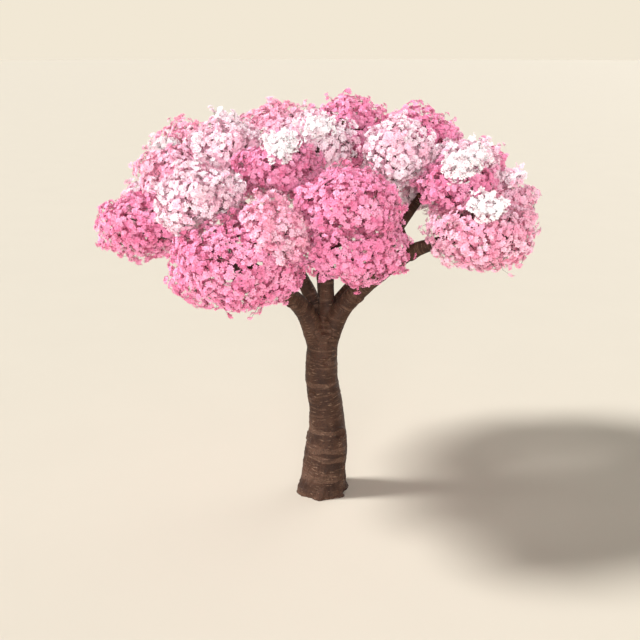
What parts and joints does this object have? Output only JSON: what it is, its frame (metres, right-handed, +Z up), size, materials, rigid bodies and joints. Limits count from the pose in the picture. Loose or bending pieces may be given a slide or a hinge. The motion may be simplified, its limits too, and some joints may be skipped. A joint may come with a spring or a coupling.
{
  "type": "flowering cherry tree",
  "caption": "Spreading cherry tree in full bloom: a leaning single trunk forks into boughs under a low domed crown of pink and white blossom.",
  "frame": {"origin": "middle of the flat cut through the foot of the trunk, at ground level", "axes": "+Z up the trunk, -Y the side the tree is seen from, +X to the viewer's right"},
  "size_m": [5.8449, 5.3827, 5.8873],
  "materials": {
    "bark": "rough bark with glossier bands",
    "blossom_rose": "matte petals",
    "blossom_pink": "matte petals",
    "blossom_blush": "matte petals",
    "blossom_white": "matte petals"
  },
  "bodies": {
    "root": {"trunk": "bark", "bough_right": "bark", "bough_left": "bark", "bough_middle": "bark", "bough_back_left": "bark", "bough_back_right": "bark", "bough_back": "bark", "bough_right_outer": "bark", "bough_right_inner": "bark", "mass_front_left_low": "blossom_rose", "mass_front_left_high": "blossom_blush", "mass_front_middle": "blossom_pink", "mass_front_right_high": "blossom_rose", "mass_front_right_low": "blossom_rose", "mass_upper_left_front": "blossom_rose", "mass_top_middle": "blossom_blush", "mass_crown_top": "blossom_rose", "mass_upper_right_front": "blossom_blush", "mass_top_right": "blossom_rose", "mass_shoulder_right": "blossom_blush", "mass_right_high": "blossom_rose", "mass_shoulder_right_back": "blossom_rose", "mass_far_right": "blossom_pink", "mass_right_low": "blossom_pink", "mass_far_left": "blossom_rose", "mass_left_high": "blossom_pink", "mass_top_left_back": "blossom_pink", "mass_top_left": "blossom_blush", "mass_top_left_middle": "blossom_pink", "mass_left_inner": "blossom_blush", "mass_left_middle": "blossom_rose", "mass_back_right_inner": "blossom_blush", "mass_back_left": "blossom_rose", "mass_back_middle_left": "blossom_blush", "mass_back_middle_right": "blossom_rose", "mass_back_right": "blossom_pink", "mass_back_upper": "blossom_blush", "mass_back_left_low": "blossom_pink", "mass_back_right_low": "blossom_blush", "tuft_upper_left": "blossom_white", "tuft_top": "blossom_white", "tuft_right_high": "blossom_white", "tuft_right_small": "blossom_white", "tuft_right_low": "blossom_white", "tuft_far_right": "blossom_blush", "tuft_left": "blossom_white"}
  },
  "joints": []
}
